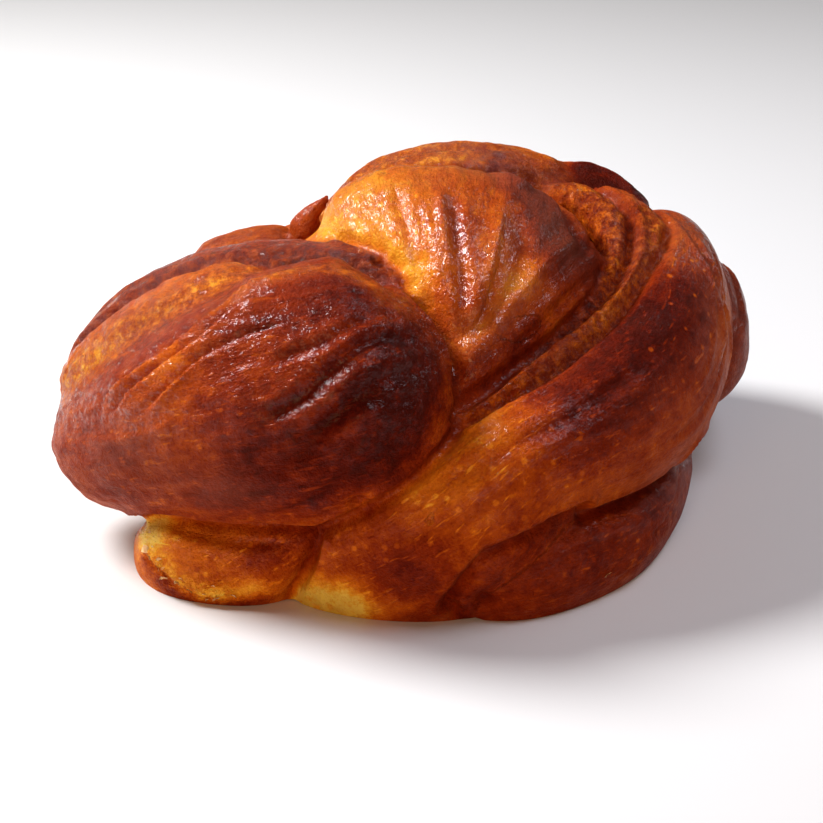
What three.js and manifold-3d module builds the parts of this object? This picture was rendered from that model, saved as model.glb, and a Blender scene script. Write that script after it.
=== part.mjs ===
// A round, knotted babka: thick rolls of filled dough twisted over one another and baked into one loaf.
// Millimetres, +Z up. The loaf rests on its flat underside, and the origin is the middle of that side's box.
import * as THREE from 'three';
import { mergeVertices } from 'three/addons/utils/BufferGeometryUtils.js';
import Module from 'manifold-3d';

// The box the baked loaf fills.
const LOAF_LENGTH = 200;
const LOAF_DEPTH = 168;
const LOAF_HEIGHT = 96;

// The face of each roll that counts as its top points away from this middle of the loaf.
const HEART = new THREE.Vector3(0, -5, 25);

// Size of a facet on the crust, and the fewest facets along and around a roll.
const FACET = 8.2;
const FEWEST_ALONG = 10;
const FEWEST_AROUND = 8;

// Each roll of dough: stations along its middle as [x, y, z, half width, half height], and the share of its
// length that each end takes to round off.
const ROLLS = {
  // The inside of the loaf, which closes the gaps between the rolls.
  heart: {
    ends: [0.4, 0.4],
    stations: [[-62, 2, 24, 44, 26], [0, 8, 32, 58, 38], [60, 12, 32, 44, 32]],
  },
  hind_heart: {
    ends: [0.3, 0.25],
    stations: [[-72, 6, 28, 26, 24], [-10, 36, 36, 36, 33], [66, 30, 40, 30, 29]],
  },
  sole: {
    ends: [0.4, 0.4],
    stations: [[-60, -10, 8, 34, 20], [0, -10, 10, 50, 22], [60, -8, 8, 34, 20]],
  },
  // The big lobe at the front left, with the layers of its cut edge and the dark lip along its top.
  lobe: {
    ends: [0.15, 0.27],
    stations: [[-99, -22, 23, 14, 14], [-77, -34, 31, 22, 22], [-55, -45, 41, 28, 28],
      [-32, -50, 49, 34, 33], [-11, -50, 54, 33, 32], [7, -47, 60, 25, 26]],
  },
  lobe_layers: {
    ends: [0.2, 0.2],
    stations: [[-97, -25, 35, 8, 8], [-86, -27, 45, 13, 10], [-72, -28, 55, 15, 12],
      [-55, -29, 64, 15, 11], [-33, -31, 72, 10, 9]],
  },
  lobe_lip: {
    ends: [0.12, 0.2],
    stations: [[-97, -15, 33, 8, 7], [-88, -12, 45, 11, 9], [-77, -11, 55, 13, 10],
      [-63, -13, 62, 14, 10], [-46, -19, 68, 14, 9], [-29, -25, 72, 12, 8], [-12, -31, 74, 9, 7],
      [2, -37, 68, 8, 7], [9, -43, 58, 7, 6]],
  },
  // The short end of a roll that shows under the lobe.
  tail: {
    ends: [0.3, 0.2],
    stations: [[-75, -38, -4, 13, 13], [-61, -50, 4, 19, 18], [-46, -56, 8, 18, 18],
      [-31, -59, 17, 13, 15], [-14, -59, 29, 9, 12]],
  },
  // The long roll that sweeps from the front up round the right side, and the tier below it.
  sweep: {
    ends: [0.08, 0.12],
    stations: [[-43, -50, -7, 7, 7], [-26, -59, -1, 14, 13], [-8, -67, 10, 25, 15],
      [9, -69, 22, 24, 16], [24, -64, 35, 18, 15], [37, -56, 39, 18, 15], [50, -46, 42, 20, 16],
      [61, -32, 45, 21, 16], [69, -10, 51, 21, 15], [72, 10, 57, 18, 14], [69, 28, 61, 14, 12],
      [58, 40, 62, 11, 9]],
  },
  tier: {
    ends: [0.05, 0.15],
    stations: [[4, -60, 4, 14, 13], [20, -64, 7, 18, 17], [38, -56, 8, 18, 16], [52, -43, 9, 17, 14],
      [62, -18, 8, 15, 13], [66, 10, 7, 15, 13], [62, 38, 9, 15, 14]],
  },
  // The crown, pinched together at the front and spread over the top, with a fold along its right side.
  crown: {
    ends: [0.05, 0.3],
    stations: [[5, -55, 53, 3, 3], [7, -40, 64, 18, 10], [9, -22, 71, 31, 17], [10, -2, 72, 40, 23],
      [9, 18, 66, 40, 22]],
  },
  right_fold: {
    ends: [0.05, 0.25],
    stations: [[3, -59, 49, 3, 3], [14, -47, 57, 8, 7], [26, -31, 65, 12, 9], [36, -13, 69, 15, 11],
      [39, 7, 66, 18, 12]],
  },
  // Two thin ridges of layers between the crown and the sweep.
  inner_ridge: {
    ends: [0.1, 0.1],
    stations: [[34, 26, 76, 8, 7], [44, 22, 77, 9, 6], [52, 11, 75, 7, 6], [54, 0, 71, 6, 5],
      [51, -11, 67, 5, 5], [46, -22, 63, 5, 5], [37, -34, 58, 5, 5], [26, -45, 54, 5, 5],
      [14, -54, 50, 5, 5], [1, -60, 44, 5, 5]],
  },
  outer_ridge: {
    ends: [0.1, 0.1],
    stations: [[44, 30, 74, 7, 6], [56, 22, 75, 7, 6], [62, 8, 73, 6, 6], [60, -6, 69, 5, 5],
      [55, -17, 65, 5, 5], [47, -30, 61, 5, 5], [37, -42, 57, 5, 5], [26, -51, 53, 5, 5],
      [15, -58, 48, 5, 5], [3, -62, 45, 4, 4]],
  },
  // Behind the crown: a high roll, a knot to its right, a bump to its left and a curled flake of crust.
  crest: {
    ends: [0.2, 0.2],
    stations: [[-56, 40, 42, 13, 12], [-41, 34, 54, 12, 11], [-25, 28, 63, 12, 10],
      [-11, 32, 73, 15, 13], [5, 36, 76, 17, 14], [24, 38, 75, 16, 14], [39, 40, 71, 13, 12],
      [51, 47, 60, 13, 12]],
  },
  knot: {
    ends: [0.25, 0.25],
    stations: [[28, 44, 74, 9, 8], [44, 44, 72, 12, 10], [56, 40, 69, 12, 9], [66, 34, 62, 10, 9]],
  },
  bump: {
    ends: [0.3, 0.3],
    stations: [[-64, 16, 54, 12, 11], [-56, 20, 58, 12, 10], [-46, 22, 60, 12, 10],
      [-32, 22, 59, 12, 11]],
  },
  flake: {
    ends: [0.05, 0.05],
    stations: [[-36, 18, 66, 3, 6], [-33, 20, 73, 2, 4], [-27, 22, 80, 0.6, 0.6]],
  },
  // The two coils round the back.
  upper_coil: {
    ends: [0.15, 0.2],
    stations: [[76, -10, 33, 16, 14], [81, 20, 37, 18, 15], [77, 44, 37, 20, 17], [44, 56, 32, 24, 20],
      [8, 64, 34, 22, 18], [-26, 58, 36, 18, 15], [-44, 40, 38, 12, 12]],
  },
  lower_coil: {
    ends: [0.2, 0.25],
    stations: [[-80, -14, 36, 14, 16], [-78, 18, 30, 22, 20], [-56, 44, 24, 26, 22],
      [-20, 60, 20, 26, 22], [20, 60, 18, 24, 18], [50, 44, 16, 16, 16]],
  },
};

const wasm = await Module();
wasm.setup();

// The closed solid that a geometry bounds.
function solidOf(geometry) {
  const bare = new THREE.BufferGeometry();
  bare.setAttribute('position', geometry.getAttribute('position'));
  bare.setIndex(geometry.getIndex());
  const merged = mergeVertices(bare, 1e-4);
  const vertProperties = new Float32Array(merged.getAttribute('position').array);
  const triVerts = new Uint32Array(merged.getIndex().array);
  return new wasm.Manifold(new wasm.Mesh({ numProp: 3, vertProperties, triVerts }));
}

function geometryOf(solid) {
  const mesh = solid.getMesh();
  const geometry = new THREE.BufferGeometry();
  geometry.setAttribute('position', new THREE.BufferAttribute(new Float32Array(mesh.vertProperties), 3));
  geometry.setIndex(new THREE.BufferAttribute(new Uint32Array(mesh.triVerts), 1));
  return geometry;
}

// A smooth curve through one triple of numbers per station.
function curveThrough(triples) {
  const points = triples.map((triple) => new THREE.Vector3(...triple));
  return new THREE.CatmullRomCurve3(points, false, 'catmullrom', 0.5);
}

// How much of its full thickness a roll has at a share t along it. Its ends take these shares to round off.
function fullness(t, [start, end]) {
  const fromStart = Math.min(t / start, 1);
  const fromEnd = Math.min((1 - t) / end, 1);
  return Math.sqrt(1 - (1 - fromStart) ** 2) * Math.sqrt(1 - (1 - fromEnd) ** 2);
}

// A sphere stretched along the roll's middle line. Each of its rings is turned square to the line, with its
// height away from the heart of the loaf.
function rollGeometry({ ends, stations }) {
  const middle = curveThrough(stations.map(([x, y, z]) => [x, y, z]));
  const half = curveThrough(stations.map(([, , , width, height]) => [width, height, 0]));
  const girth = Math.PI * Math.max(...stations.map(([, , , width, height]) => width + height));
  const along = Math.max(FEWEST_ALONG, Math.round(middle.getLength() / FACET) + 5);
  const around = Math.max(FEWEST_AROUND, Math.round(girth / FACET));
  const geometry = new THREE.SphereGeometry(1, around, along);
  const position = geometry.getAttribute('position');
  const place = new THREE.Vector3();
  for (let i = 0; i < position.count; i += 1) {
    const t = THREE.MathUtils.clamp((1 - position.getY(i)) / 2, 0, 1);
    const ring = Math.hypot(position.getX(i), position.getZ(i)) || 1;
    const tangent = middle.getTangent(t);
    const up = middle.getPoint(t).sub(HEART).projectOnPlane(tangent).normalize();
    const side = tangent.clone().cross(up);
    const size = half.getPoint(t).multiplyScalar(fullness(t, ends) / ring);
    place.copy(middle.getPoint(t));
    place.addScaledVector(up, position.getX(i) * size.y);
    place.addScaledVector(side, position.getZ(i) * size.x);
    position.setXYZ(i, place.x, place.y, place.z);
  }
  return geometry;
}

// All the rolls joined into one piece, cut off flat where the loaf stands.
function loafSolid() {
  const [first, ...others] = Object.values(ROLLS).map((roll) => solidOf(rollGeometry(roll)));
  const joined = others.reduce((loaf, roll) => loaf.add(roll), first);
  const reach = 2 * LOAF_LENGTH;
  const below = new THREE.BoxGeometry(reach, reach, reach).translate(0, 0, -reach / 2);
  return joined.subtract(solidOf(below));
}

// The loaf set to its size, standing on the origin.
function loafGeometry() {
  const geometry = geometryOf(loafSolid());
  geometry.computeBoundingBox();
  const box = geometry.boundingBox;
  const middle = box.getCenter(new THREE.Vector3());
  const size = box.getSize(new THREE.Vector3());
  geometry.translate(-middle.x, -middle.y, -box.min.z);
  geometry.scale(LOAF_LENGTH / size.x, LOAF_DEPTH / size.y, LOAF_HEIGHT / size.z);
  geometry.computeVertexNormals();
  return geometry;
}

const crust = new THREE.MeshStandardMaterial({ name: 'baked_crust', color: 0x8c4016, roughness: 0.4 });
const loaf = new THREE.Mesh(loafGeometry(), crust);
loaf.name = 'loaf';

const babka = new THREE.Group();
babka.name = 'babka';
babka.add(loaf);

export default babka;
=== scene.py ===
# %% [markdown]
# # A knotted babka
# A babka is a rich, sweet loaf. The dough is rolled thin, spread with a filling, rolled up, and the rolls
# are twisted over one another before they are baked. Egg wash gives the crust its deep, glossy brown. Here
# the CAD frame says how big the loaf is and where it stands, and this lesson gives it its skin: fine
# wrinkles, flaky edges, blisters and the colours that the oven gave it.

# %% Load the frame
import math

import bmesh
import bpy
import numpy as np
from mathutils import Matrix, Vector, kdtree, noise


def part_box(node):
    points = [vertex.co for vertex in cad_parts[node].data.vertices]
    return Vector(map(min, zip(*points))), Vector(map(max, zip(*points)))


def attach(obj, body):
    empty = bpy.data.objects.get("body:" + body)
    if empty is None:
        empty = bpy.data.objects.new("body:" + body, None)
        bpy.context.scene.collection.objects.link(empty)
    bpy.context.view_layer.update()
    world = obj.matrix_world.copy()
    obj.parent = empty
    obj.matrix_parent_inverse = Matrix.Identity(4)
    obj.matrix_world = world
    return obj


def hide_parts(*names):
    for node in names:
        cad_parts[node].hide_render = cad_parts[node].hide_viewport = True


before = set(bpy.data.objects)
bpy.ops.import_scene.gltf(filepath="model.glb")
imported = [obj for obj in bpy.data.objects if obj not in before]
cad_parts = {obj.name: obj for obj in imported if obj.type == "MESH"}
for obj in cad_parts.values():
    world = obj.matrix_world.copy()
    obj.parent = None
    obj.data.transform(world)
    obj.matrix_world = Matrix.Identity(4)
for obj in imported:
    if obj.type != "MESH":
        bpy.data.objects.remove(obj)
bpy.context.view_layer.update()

# %% [markdown]
# ## The rolls of dough
# A baker shapes each roll by hand, so its middle wanders and its thickness swells and thins. A few stations
# along the middle are enough to say both: a place, half a width and half a height, in millimetres. They are
# the same stations as the CAD model's, measured from the middle of the board that the loaf is shaped on.
# `ends` is the share of the length that each end takes to round off.

# %% Stations of every roll
ROLLS = {
    "heart": dict(
        ends=(0.4, 0.4),
        stations=[(-62, 2, 24, 44, 26), (0, 8, 32, 58, 38), (60, 12, 32, 44, 32)],
    ),
    "hind_heart": dict(
        ends=(0.3, 0.25),
        stations=[(-72, 6, 28, 26, 24), (-10, 36, 36, 36, 33), (66, 30, 40, 30, 29)],
    ),
    "sole": dict(
        ends=(0.4, 0.4),
        stations=[(-60, -10, 8, 34, 20), (0, -10, 10, 50, 22), (60, -8, 8, 34, 20)],
    ),
    "lobe": dict(
        ends=(0.15, 0.27),
        stations=[(-99, -22, 23, 14, 14), (-77, -34, 31, 22, 22), (-55, -45, 41, 28, 28),
                  (-32, -50, 49, 34, 33), (-11, -50, 54, 33, 32), (7, -47, 60, 25, 26)],
    ),
    "lobe_layers": dict(
        ends=(0.2, 0.2),
        stations=[(-97, -25, 35, 8, 8), (-86, -27, 45, 13, 10), (-72, -28, 55, 15, 12),
                  (-55, -29, 64, 15, 11), (-33, -31, 72, 10, 9)],
    ),
    "lobe_lip": dict(
        ends=(0.12, 0.2),
        stations=[(-97, -15, 33, 8, 7), (-88, -12, 45, 11, 9), (-77, -11, 55, 13, 10),
                  (-63, -13, 62, 14, 10), (-46, -19, 68, 14, 9), (-29, -25, 72, 12, 8),
                  (-12, -31, 74, 9, 7), (2, -37, 68, 8, 7), (9, -43, 58, 7, 6)],
    ),
    "tail": dict(
        ends=(0.3, 0.2),
        stations=[(-75, -38, -4, 13, 13), (-61, -50, 4, 19, 18), (-46, -56, 8, 18, 18),
                  (-31, -59, 17, 13, 15), (-14, -59, 29, 9, 12)],
    ),
    "sweep": dict(
        ends=(0.08, 0.12),
        stations=[(-43, -50, -7, 7, 7), (-26, -59, -1, 14, 13), (-8, -67, 10, 25, 15), (9, -69, 22, 24, 16),
                  (24, -64, 35, 18, 15), (37, -56, 39, 18, 15), (50, -46, 42, 20, 16),
                  (61, -32, 45, 21, 16), (69, -10, 51, 21, 15), (72, 10, 57, 18, 14), (69, 28, 61, 14, 12),
                  (58, 40, 62, 11, 9)],
    ),
    "tier": dict(
        ends=(0.05, 0.15),
        stations=[(4, -60, 4, 14, 13), (20, -64, 7, 18, 17), (38, -56, 8, 18, 16), (52, -43, 9, 17, 14),
                  (62, -18, 8, 15, 13), (66, 10, 7, 15, 13), (62, 38, 9, 15, 14)],
    ),
    "crown": dict(
        ends=(0.05, 0.3),
        stations=[(5, -55, 53, 3, 3), (7, -40, 64, 18, 10), (9, -22, 71, 31, 17), (10, -2, 72, 40, 23),
                  (9, 18, 66, 40, 22)],
    ),
    "right_fold": dict(
        ends=(0.05, 0.25),
        stations=[(3, -59, 49, 3, 3), (14, -47, 57, 8, 7), (26, -31, 65, 12, 9), (36, -13, 69, 15, 11),
                  (39, 7, 66, 18, 12)],
    ),
    "inner_ridge": dict(
        ends=(0.1, 0.1),
        stations=[(34, 26, 76, 8, 7), (44, 22, 77, 9, 6), (52, 11, 75, 7, 6), (54, 0, 71, 6, 5),
                  (51, -11, 67, 5, 5), (46, -22, 63, 5, 5), (37, -34, 58, 5, 5), (26, -45, 54, 5, 5),
                  (14, -54, 50, 5, 5), (1, -60, 44, 5, 5)],
    ),
    "outer_ridge": dict(
        ends=(0.1, 0.1),
        stations=[(44, 30, 74, 7, 6), (56, 22, 75, 7, 6), (62, 8, 73, 6, 6), (60, -6, 69, 5, 5),
                  (55, -17, 65, 5, 5), (47, -30, 61, 5, 5), (37, -42, 57, 5, 5), (26, -51, 53, 5, 5),
                  (15, -58, 48, 5, 5), (3, -62, 45, 4, 4)],
    ),
    "crest": dict(
        ends=(0.2, 0.2),
        stations=[(-56, 40, 42, 13, 12), (-41, 34, 54, 12, 11), (-25, 28, 63, 12, 10),
                  (-11, 32, 73, 15, 13), (5, 36, 76, 17, 14), (24, 38, 75, 16, 14), (39, 40, 71, 13, 12),
                  (51, 47, 60, 13, 12)],
    ),
    "knot": dict(
        ends=(0.25, 0.25),
        stations=[(28, 44, 74, 9, 8), (44, 44, 72, 12, 10), (56, 40, 69, 12, 9), (66, 34, 62, 10, 9)],
    ),
    "bump": dict(
        ends=(0.3, 0.3),
        stations=[(-64, 16, 54, 12, 11), (-56, 20, 58, 12, 10), (-46, 22, 60, 12, 10),
                  (-32, 22, 59, 12, 11)],
    ),
    "flake": dict(
        ends=(0.05, 0.05),
        stations=[(-36, 18, 66, 3, 6), (-33, 20, 73, 2, 4), (-27, 22, 80, 0.6, 0.6)],
    ),
    "upper_coil": dict(
        ends=(0.15, 0.2),
        stations=[(76, -10, 33, 16, 14), (81, 20, 37, 18, 15), (77, 44, 37, 20, 17), (44, 56, 32, 24, 20),
                  (8, 64, 34, 22, 18), (-26, 58, 36, 18, 15), (-44, 40, 38, 12, 12)],
    ),
    "lower_coil": dict(
        ends=(0.2, 0.25),
        stations=[(-80, -14, 36, 14, 16), (-78, 18, 30, 22, 20), (-56, 44, 24, 26, 22),
                  (-20, 60, 20, 26, 22), (20, 60, 18, 24, 18), (50, 44, 16, 16, 16)],
    ),
}
print(len(ROLLS), "rolls,", sum(len(r["stations"]) for r in ROLLS.values()), "stations")

# %% [markdown]
# ## A smooth line through the stations
# A Catmull-Rom curve passes through every station and leaves no corner there. Along it travels a small
# frame: `ahead` points along the roll, `up` away from the heart of the loaf, and `side` across. A ring of
# the roll is an ellipse in `up` and `side`.

# %% Curves and rings
# A point deep inside the loaf, in mm.
HEART = (0, -5, 25)


def smooth(values, share):
    """Catmull-Rom values at each share, 0 to 1, of the way along the given rows."""
    values = np.asarray(values, float)
    spans = len(values) - 1
    padded = np.vstack([2 * values[0] - values[1], values, 2 * values[-1] - values[-2]])
    place = np.clip(share, 0, 1) * spans
    span = np.minimum(place.astype(int), spans - 1)
    w = (place - span)[:, None]
    a, b, c, d = (padded[span + k] for k in range(4))
    return b + 0.5 * w * (c - a + w * (2 * a - 5 * b + 4 * c - d + w * (3 * (b - c) + d - a)))


def unit(rows):
    return rows / np.maximum(np.linalg.norm(rows, axis=-1, keepdims=True), 1e-9)


def rings(roll, share):
    """A roll's rings at each share of its length, in mm: middle, ahead, up, side, half sizes (up, side)."""
    stations = np.array(roll["stations"], float)
    middle = smooth(stations[:, :3], share)
    step = 0.002
    ahead = unit(smooth(stations[:, :3], share + step) - smooth(stations[:, :3], share - step))
    out = middle - HEART
    up = unit(out - (out * ahead).sum(1, keepdims=True) * ahead)
    side = np.cross(ahead, up)
    start, end = roll["ends"]
    full = np.sqrt(1 - (1 - np.clip(share / start, 0, 1)) ** 2)
    full *= np.sqrt(1 - (1 - np.clip((1 - share) / end, 0, 1)) ** 2)
    half = smooth(stations[:, [4, 3]], share) * full[:, None]
    return middle, ahead, up, side, half


def length_of(roll):
    middle = smooth(np.array(roll["stations"], float)[:, :3], np.linspace(0, 1, 60))
    return np.linalg.norm(np.diff(middle, axis=0), axis=1).sum()


print("the sweep is", round(length_of(ROLLS["sweep"])), "mm long")

# %% [markdown]
# ## From a sphere to a roll
# A sphere already has the ends that a roll needs, so each roll starts as `create_uvsphere`. Every vertex
# then slides out to its own ring: its height on the sphere says how far along, its direction says where
# around.

# %% Roll a sphere out
# The length of a facet in mm, and how many there are at least around a roll and along it.
ROLL_FACET = 2.2
FEWEST_FACETS = 16


def coordinates(bm):
    return np.array([v.co for v in bm.verts])


def place(bm, rows):
    for vertex, row in zip(bm.verts, rows):
        vertex.co = row


def add_roll(bm, roll):
    """Adds a roll to bm, in mm."""
    ball = bmesh.new()
    girth = math.pi * max(w + h for *_, w, h in roll["stations"])
    around = max(FEWEST_FACETS, int(girth / ROLL_FACET))
    along = max(FEWEST_FACETS, int(length_of(roll) / ROLL_FACET))
    bmesh.ops.create_uvsphere(ball, u_segments=around, v_segments=along, radius=1)
    sphere = coordinates(ball)
    share = np.clip((1 - sphere[:, 2]) / 2, 0, 1)
    direction = unit(sphere[:, :2])
    middle, _, up, side, half = rings(roll, share)
    place(ball, middle + up * (half[:, :1] * direction[:, :1]) + side * (half[:, 1:] * direction[:, 1:]))
    bmesh.ops.recalc_face_normals(ball, faces=ball.faces)
    made = bpy.data.meshes.new("roll")
    ball.to_mesh(made)
    ball.free()
    bm.from_mesh(made)
    bpy.data.meshes.remove(made)


dough = bmesh.new()
for roll in ROLLS.values():
    add_roll(dough, roll)
print("rolled out", len(dough.verts), "vertices")

# %% [markdown]
# ## One skin over all the rolls
# In the oven the rolls swell into one another and share one crust. A voxel remesh does the same: it forgets
# every wall inside the loaf and lays one even skin over the rest. The skin is then cut off flat where the
# loaf stood on its tray, and smoothed a little, because real creases are soft at the bottom.

# %% Join the rolls
# In mm: a little less than the narrowest wrinkle.
VOXEL = 0.85
SMOOTH_PASSES = 3


def piece(name, bm):
    """A new object of the loaf with bm's faces, shaded smooth."""
    mesh = bpy.data.meshes.new(name)
    bm.to_mesh(mesh)
    bm.free()
    mesh.polygons.foreach_set("use_smooth", [True] * len(mesh.polygons))
    made = bpy.data.objects.new(name, mesh)
    bpy.context.scene.collection.objects.link(made)
    return made


def applied(obj):
    """A bmesh of obj with its modifiers applied. obj itself is removed."""
    graph = bpy.context.evaluated_depsgraph_get()
    bm = bmesh.new()
    bm.from_mesh(obj.evaluated_get(graph).to_mesh())
    bpy.data.objects.remove(obj)
    return bm


joined = piece("joined_rolls", dough)
remesh = joined.modifiers.new("skin", "REMESH")
remesh.mode = "VOXEL"
remesh.voxel_size = VOXEL
skin = applied(joined)
for _ in range(SMOOTH_PASSES):
    bmesh.ops.smooth_vert(
        skin, verts=skin.verts, factor=0.5, use_axis_x=True, use_axis_y=True, use_axis_z=True
    )
bmesh.ops.bisect_plane(
    skin, geom=skin.verts[:] + skin.edges[:] + skin.faces[:], plane_co=(0, 0, 0), plane_no=(0, 0, -1),
    clear_outer=True,
)
bmesh.ops.holes_fill(skin, edges=[e for e in skin.edges if e.is_boundary], sides=0)
print("one skin of", len(skin.verts), "vertices")

# %% [markdown]
# ## Where on which roll
# Wrinkles run along a roll, folds cross it, and colour changes from one roll to the next, so every vertex
# has to know its roll. The nearest ring gives a distance along the roll and an offset from its middle, and
# the roll whose own skin is closest wins. A vote among neighbours then tidies the borders.

# %% Find each vertex's roll
NAMES = list(ROLLS)
FAR = 99.0
RINGS = 160
# The share at each tip of a roll that is left out, as its rings have no size there.
TIP = 0.002
# The least half size of a ring in mm, and the least share of it, that an offset is divided by.
THINNEST, INNERMOST = 0.3, 0.05
# How far in mm a roll is looked for round its stations, and how many vertices are measured at a time.
REACH = 8
CHUNK = 15000


def on_roll(points, roll):
    """Distance to a roll's skin (negative inside), and offsets (along, up, side), in mm."""
    share = np.linspace(2 * TIP, 1 - 2 * TIP, RINGS)
    middle = rings(roll, share)[0]
    nearest = np.argmin(((points[:, None] - middle[None]) ** 2).sum(-1), axis=1)
    speed = np.gradient(middle, share, axis=0)
    slip = ((points - middle[nearest]) * speed[nearest]).sum(1) / (speed[nearest] ** 2).sum(1)
    share = np.clip(share[nearest] + slip, TIP, 1 - TIP)
    middle, _, up, side, half = rings(roll, share)
    out = points - middle
    offset = np.stack([share * length_of(roll), (out * up).sum(1), (out * side).sum(1)], axis=1)
    stretch = np.linalg.norm(offset[:, 1:] / np.maximum(half, THINNEST), axis=1)
    distance = np.linalg.norm(offset[:, 1:], axis=1) * (1 - 1 / np.maximum(stretch, INNERMOST))
    return distance, offset


def find_rolls(points):
    """For each point, in mm: its roll's number and its offsets there."""
    best, number, offset = np.full(len(points), FAR), np.zeros(len(points), int), np.zeros((len(points), 3))
    for index, roll in enumerate(ROLLS.values()):
        stations = np.array(roll["stations"], float)
        reach = stations[:, 3:].max() + REACH
        low, high = stations[:, :3].min(0) - reach, stations[:, :3].max(0) + reach
        near = np.flatnonzero(((points > low) & (points < high)).all(1))
        for part in np.array_split(near, max(1, len(near) // CHUNK)):
            distance, off = on_roll(points[part], roll)
            closer = distance < best[part]
            won = part[closer]
            best[won], number[won], offset[won] = distance[closer], index, off[closer]
    return number, offset


skin.verts.index_update()
edges = np.array([[v.index for v in e.verts] for e in skin.edges])
degree = np.bincount(edges.ravel(), minlength=len(skin.verts))


def spread(rows, passes):
    """Each row averaged with its neighbours' rows on the mesh, this many times."""
    for _ in range(passes):
        total = rows.copy()
        for column in range(rows.shape[1]):
            for a, b in ((0, 1), (1, 0)):
                total[:, column] += np.bincount(edges[:, a], rows[edges[:, b], column], len(rows))
        rows = total / (1 + degree[:, None])
    return rows


points = coordinates(skin)
number, offset = find_rolls(points)
VOTE_PASSES = 3
number = spread(np.eye(len(NAMES))[number], VOTE_PASSES).argmax(1)
print("vertices on each roll:", {name: int((number == k).sum()) for k, name in enumerate(NAMES)})

# %% [markdown]
# ## Two borders that the nearest roll gets wrong
# Where the sweep tucks under itself at the front, the line TUCKED says which part already belongs to the
# tier below: it is a list of places, each a share of the way along the sweep and an angle around it. And a
# small patch that a neighbour leaves on the lobe goes to whichever roll surrounds it.

# %% Mend the borders
TUCKED = [(0.22, 20), (0.24, 14), (0.26, 8), (0.285, 3), (0.31, 14), (0.34, 28), (0.37, 40), (0.42, 46)]
TUCK_STARTS, TUCK_ENDS = 0.225, 0.42
UNDERSIDE = 150
SMALLEST_PATCH = 300
SURROUND_PASSES = 40


def patch_sizes(number):
    """For each vertex, how many vertices of the same roll it is joined to."""
    same = edges[number[edges[:, 0]] == number[edges[:, 1]]]
    root, before = np.arange(len(number)), None
    while before is None or (root != before).any():
        before = root.copy()
        lowest = np.minimum(root[same[:, 0]], root[same[:, 1]])
        np.minimum.at(root, same.T.ravel(), np.tile(lowest, 2))
        root = root[root]
    return np.bincount(root)[root]


share = offset[:, 0] / length_of(ROLLS["sweep"])
half = rings(ROLLS["sweep"], share)[4]
angle = np.degrees(np.arctan2(offset[:, 2] / half[:, 1], offset[:, 1] / half[:, 0]))
line_share, line_angle = np.array(TUCKED, float).T
under = (share > TUCK_STARTS) & (share < TUCK_ENDS) & (number == NAMES.index("sweep"))
under &= (angle > np.interp(share, line_share, line_angle)) & (angle < UNDERSIDE)
number = np.where(under, NAMES.index("tier"), number)
island = (patch_sizes(number) < SMALLEST_PATCH) & (number == NAMES.index("lobe"))
votes = spread(np.eye(len(NAMES))[number] * ~island[:, None], SURROUND_PASSES)
number = np.where(island, votes.argmax(1), number)
print("moved", int(under.sum()), "vertices to the tier and", int(island.sum()), "off the lobe")

# %% [markdown]
# ## Creases, and seams that aren't creases
# Where two neighbouring vertices lie on different rolls there is a crease, and `gap` is how far it is away.
# But some rolls are one sheet of dough: the crown and the fold on its right are gathered at the front, and
# the lobe grows out of its layers. Their seams are soft swells. Smoothing only near those seams, many
# times, rounds them and leaves every crease sharp. The same smoothing fills a few pits, where three rolls
# meet and real dough would have closed the hole.

# %% Find the creases and soften the seams
SHEETS = [
    # rolls that are one sheet of dough
    ("crown", "right_fold", "heart"), ("lobe", "lobe_layers"), ("crest", "knot"), ("crest", "inner_ridge"),
    ("knot", "inner_ridge"), ("crest", "outer_ridge"), ("knot", "outer_ridge"), ("upper_coil", "hind_heart"),
    ("lower_coil", "hind_heart"), ("sweep", "sole"), ("tail", "sole"),
]
PITS = [
    # the middle and the radius in mm of each pit that closes
    (-5, -40, 76, 7), (-75, -57, 19, 5), (46, -11, 74, 5), (66, 20, 76, 8), (64, 8, 77, 7), (62, -3, 75, 5),
    (37, 25, 80, 9),
]
FADE_PASSES = 8
SEAM_PASSES = 60
EDGE_PASSES = 10
EDGE_SHARE = 0.6


def ease(low, high, values):
    """0 below low, 1 above high, smooth between."""
    t = np.clip((values - low) / (high - low), 0, 1)
    return t * t * (3 - 2 * t)


def fade(mask, passes):
    """1 on this part of the skin, falling to 0 over this many passes around it."""
    return spread(mask[:, None].astype(float), passes)[:, 0]


def sheet_of(name):
    """The numbers of all rolls in one sheet with this one."""
    mates = {name}.union(*(sheet for sheet in SHEETS if name in sheet))
    return [NAMES.index(mate) for mate in mates]


def away_from(points, seam):
    """Distance from each point to the nearest of the seam's points, and that one's number."""
    tree = kdtree.KDTree(len(seam))
    for index, row in enumerate(seam.tolist()):
        tree.insert(row, index)
    tree.balance()
    found = [tree.find(point)[1:] for point in points.tolist()]
    return np.array([f[1] for f in found]), np.array([f[0] for f in found])


joined_as = np.array([[k in sheet_of(name) for k in range(len(NAMES))] for name in NAMES])
pair = number[edges]
border = pair[:, 0] != pair[:, 1]
sheet = joined_as[pair[:, 0], pair[:, 1]]
halfway = points[edges].mean(1)
seam_gap, _ = away_from(points, halfway[border & sheet])
gap, row = away_from(points, halfway[border & ~sheet])
crease = pair[border & ~sheet][row]
runner_up = np.where(crease[:, 0] == number, crease[:, 1], crease[:, 0])
# A faded patch is multiplied and clipped, so that all of it and a little more is smoothed fully.
filled = np.clip(4 * fade(island, FADE_PASSES), 0, 1)
for x, y, z, radius in PITS:
    filled = np.maximum(filled, 1 - ease(0.6 * radius, radius, np.linalg.norm(points - (x, y, z), axis=1)))
retucked = np.clip(3 * fade(under, FADE_PASSES), 0, 1) * (number == NAMES.index("tier"))
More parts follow.
